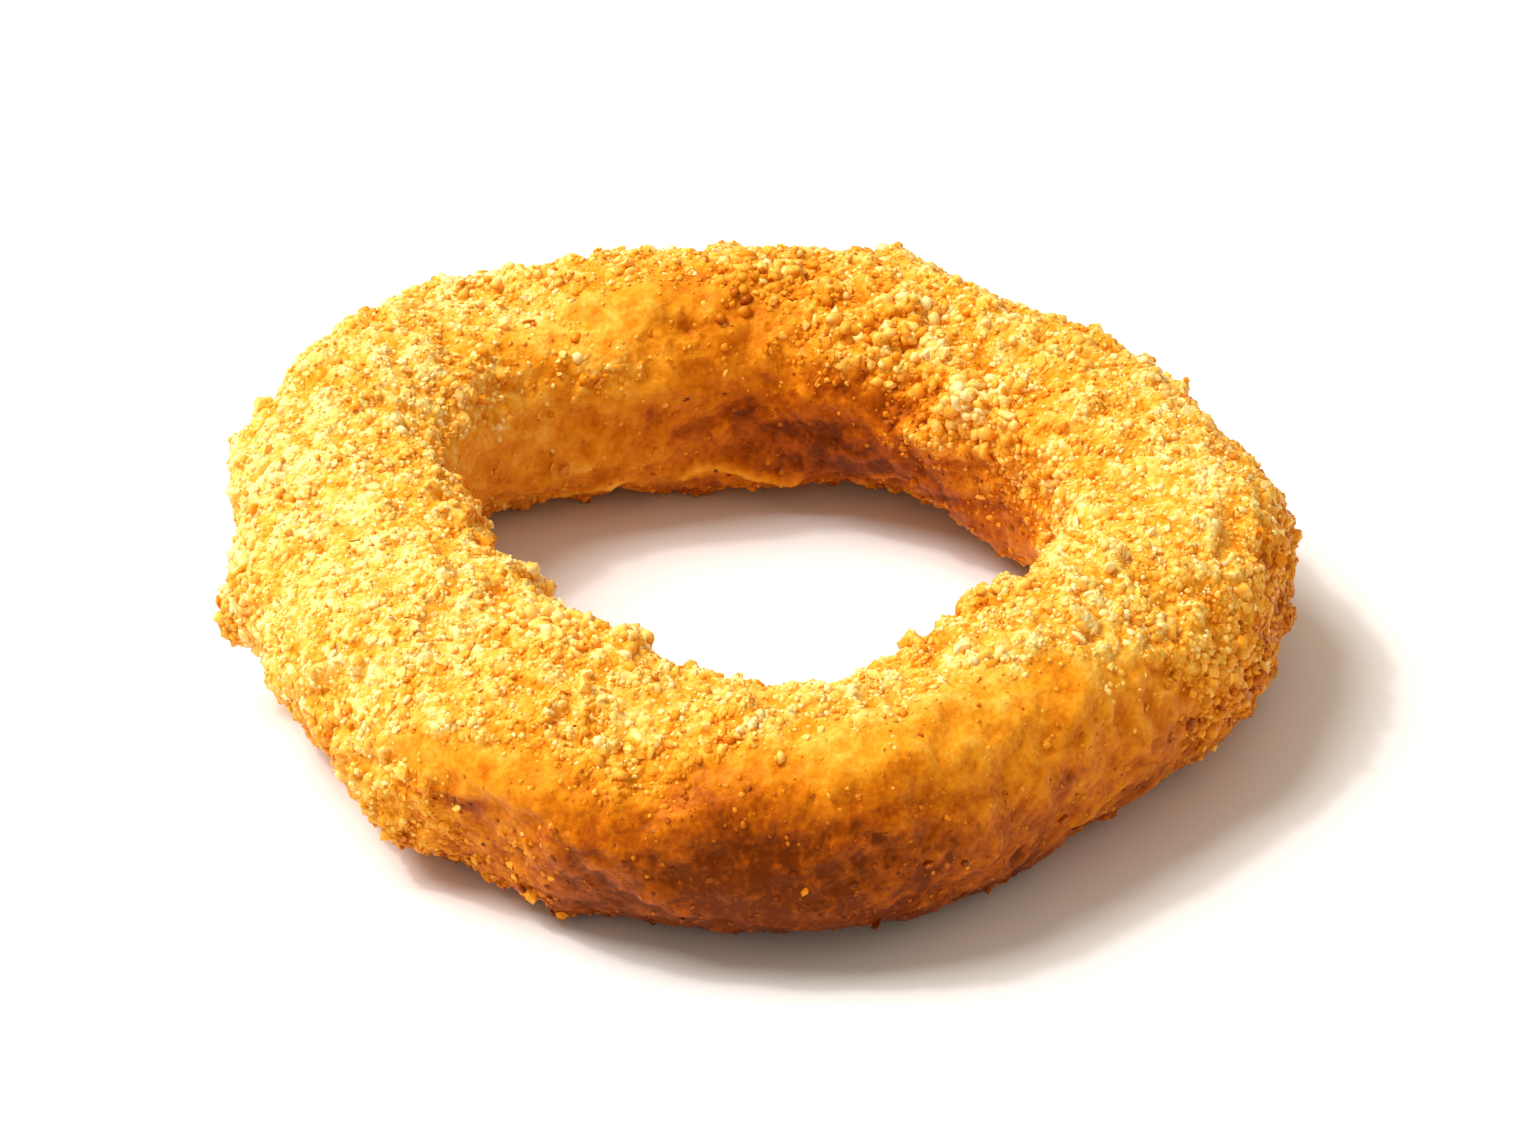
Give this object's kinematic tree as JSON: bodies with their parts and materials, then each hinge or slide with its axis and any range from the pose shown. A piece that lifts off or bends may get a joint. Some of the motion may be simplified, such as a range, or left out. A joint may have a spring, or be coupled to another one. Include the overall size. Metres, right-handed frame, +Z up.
{
  "type": "onion ring",
  "caption": "A breaded, deep-fried onion ring lying flat: a thick, uneven ring of golden crumbed crust around an open hole.",
  "frame": {"origin": "On the surface the ring lies on, under the middle of its bounding box.", "axes": "+Z up, the shortest way, through the hole. +X along the ring's longest way across, to the right as seen from the front; the front is the -Y side, where the batter is smoothest."},
  "size_m": [0.072, 0.0696, 0.0164],
  "materials": {
    "crust": "fried breadcrumb crust: golden, pale where the crumbs are dense and amber to brown on the bare batter, rough with a light gloss of oil"
  },
  "bodies": {
    "root": {"onion_ring": "crust"}
  },
  "joints": []
}
